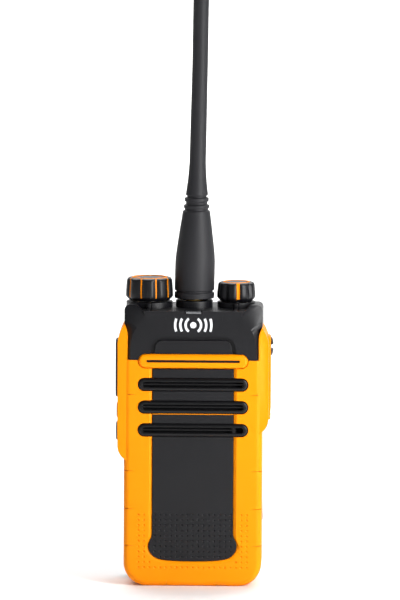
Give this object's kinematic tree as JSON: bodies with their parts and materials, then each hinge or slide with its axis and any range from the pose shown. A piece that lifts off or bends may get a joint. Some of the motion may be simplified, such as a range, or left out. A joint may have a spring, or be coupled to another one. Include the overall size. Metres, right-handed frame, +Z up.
{
  "type": "two-way radio",
  "caption": "Handheld two-way radio in an orange shell with a black head, slotted speaker panel, whip antenna, two top knobs, side keys, rear battery and belt clip.",
  "frame": {"origin": "on the flat base, in the middle of the shell's width and under the antenna's axis", "axes": "+X to the right seen from the front, +Y towards the battery at the back, +Z up along the antenna"},
  "size_m": [0.0615, 0.0451, 0.271],
  "materials": {
    "orange_shell": "satin moulded",
    "black_shell": "fine textured",
    "clear_lens": "polished",
    "antenna_rubber": "matte",
    "key_rubber": "matte",
    "steel": "brushed",
    "speaker_cloth": "woven",
    "cast_alloy": "as cast",
    "board": "solder mask",
    "brass": "plated",
    "cell_wrap": "shrink wrap"
  },
  "bodies": {
    "root": {"orange_housing": "orange_shell", "head_housing": "black_shell", "grille_panel": "black_shell", "top_slot_bezel": "orange_shell", "led_lens": "clear_lens", "speaker_basket": "steel", "speaker_cone": "speaker_cloth", "speaker_magnet": "steel", "speaker_cloth": "speaker_cloth", "microphone_boot": "key_rubber", "microphone": "steel", "chassis": "cast_alloy", "perimeter_seal": "key_rubber", "main_board": "board", "rf_shield": "steel", "chassis_screw_1": "steel", "chassis_screw_2": "steel", "chassis_screw_3": "steel", "chassis_screw_4": "steel", "channel_encoder": "steel", "volume_switch": "steel", "channel_nut": "brass", "volume_nut": "brass", "antenna_connector": "brass", "side_key_seal": "key_rubber", "ptt_switch": "steel", "side_key_1_switch": "steel", "side_key_2_switch": "steel", "accessory_socket": "black_shell", "supply_contacts": "brass"},
    "channel_knob": {"channel_knob": "black_shell", "channel_knob_core": "orange_shell", "channel_knob_disc": "black_shell", "channel_shaft": "steel"},
    "volume_knob": {"volume_knob": "black_shell", "volume_knob_core": "orange_shell", "volume_knob_disc": "black_shell", "volume_shaft": "steel"},
    "antenna": {"antenna_whip": "antenna_rubber", "antenna_stud": "brass", "antenna_radiator": "steel"},
    "ptt": {"ptt_button": "key_rubber"},
    "key_1": {"side_key_1": "key_rubber"},
    "key_2": {"side_key_2": "key_rubber"},
    "socket_cover": {"accessory_cover": "orange_shell"},
    "cover_screw": {"cover_screw": "black_shell"},
    "battery": {"battery_case": "black_shell", "battery_lid": "black_shell", "battery_cell": "cell_wrap", "battery_board": "board", "battery_terminals": "brass", "latch_spring": "steel", "clip_bracket": "black_shell", "clip_pin": "steel", "clip_spring": "steel", "clip_screw_1": "steel", "clip_screw_2": "steel"},
    "latch": {"battery_latch": "black_shell"},
    "clip": {"clip_lever": "black_shell"}
  },
  "joints": [
    {"name": "channel_turn", "type": "hinge", "parent": "root", "child": "channel_knob", "pos_m": [-0.0174, 0, 0.1145], "axis": [0, 0, 1], "range_deg": [-157.5, 180]},
    {"name": "volume_turn", "type": "hinge", "parent": "root", "child": "volume_knob", "pos_m": [0.0163, 0, 0.1135], "axis": [0, 0, 1], "range_deg": [-270, 0]},
    {"name": "antenna_unscrew", "type": "hinge", "parent": "root", "child": "antenna", "pos_m": [0, 0, 0.112], "axis": [0, 0, 1], "continuous": true},
    {"name": "ptt_press", "type": "slide", "parent": "root", "child": "ptt", "axis": [1, 0, 0], "range_m": [0, 0.0008], "stiffness_N_per_m": 2500, "springref_m": -0.0004},
    {"name": "side_key_1_press", "type": "slide", "parent": "root", "child": "key_1", "axis": [1, 0, 0], "range_m": [0, 0.0008], "stiffness_N_per_m": 2500, "springref_m": -0.0004},
    {"name": "side_key_2_press", "type": "slide", "parent": "root", "child": "key_2", "axis": [1, 0, 0], "range_m": [0, 0.0008], "stiffness_N_per_m": 2500, "springref_m": -0.0004},
    {"name": "socket_cover_swing", "type": "hinge", "parent": "root", "child": "socket_cover", "pos_m": [0.0293, -0.0042, 0.0652], "axis": [0, 1, 0], "range_deg": [0, 100]},
    {"name": "cover_screw_turn", "type": "hinge", "parent": "socket_cover", "child": "cover_screw", "pos_m": [0.03, -0.0042, 0.0924], "axis": [1, 0, 0], "continuous": true},
    {"name": "battery_off", "type": "slide", "parent": "root", "child": "battery", "axis": [0, 1, 0], "range_m": [0, 0.03]},
    {"name": "battery_latch_slide", "type": "slide", "parent": "battery", "child": "latch", "axis": [0, 0, 1], "range_m": [0, 0.0022], "stiffness_N_per_m": 800, "springref_m": -0.001, "deforming": ["latch_spring"]},
    {"name": "belt_clip_open", "type": "hinge", "parent": "battery", "child": "clip", "pos_m": [0, 0.0234, 0.084], "axis": [1, 0, 0], "range_deg": [0, 14], "stiffness_Nm_per_rad": 0.35, "springref_deg": -4.58}
  ]
}
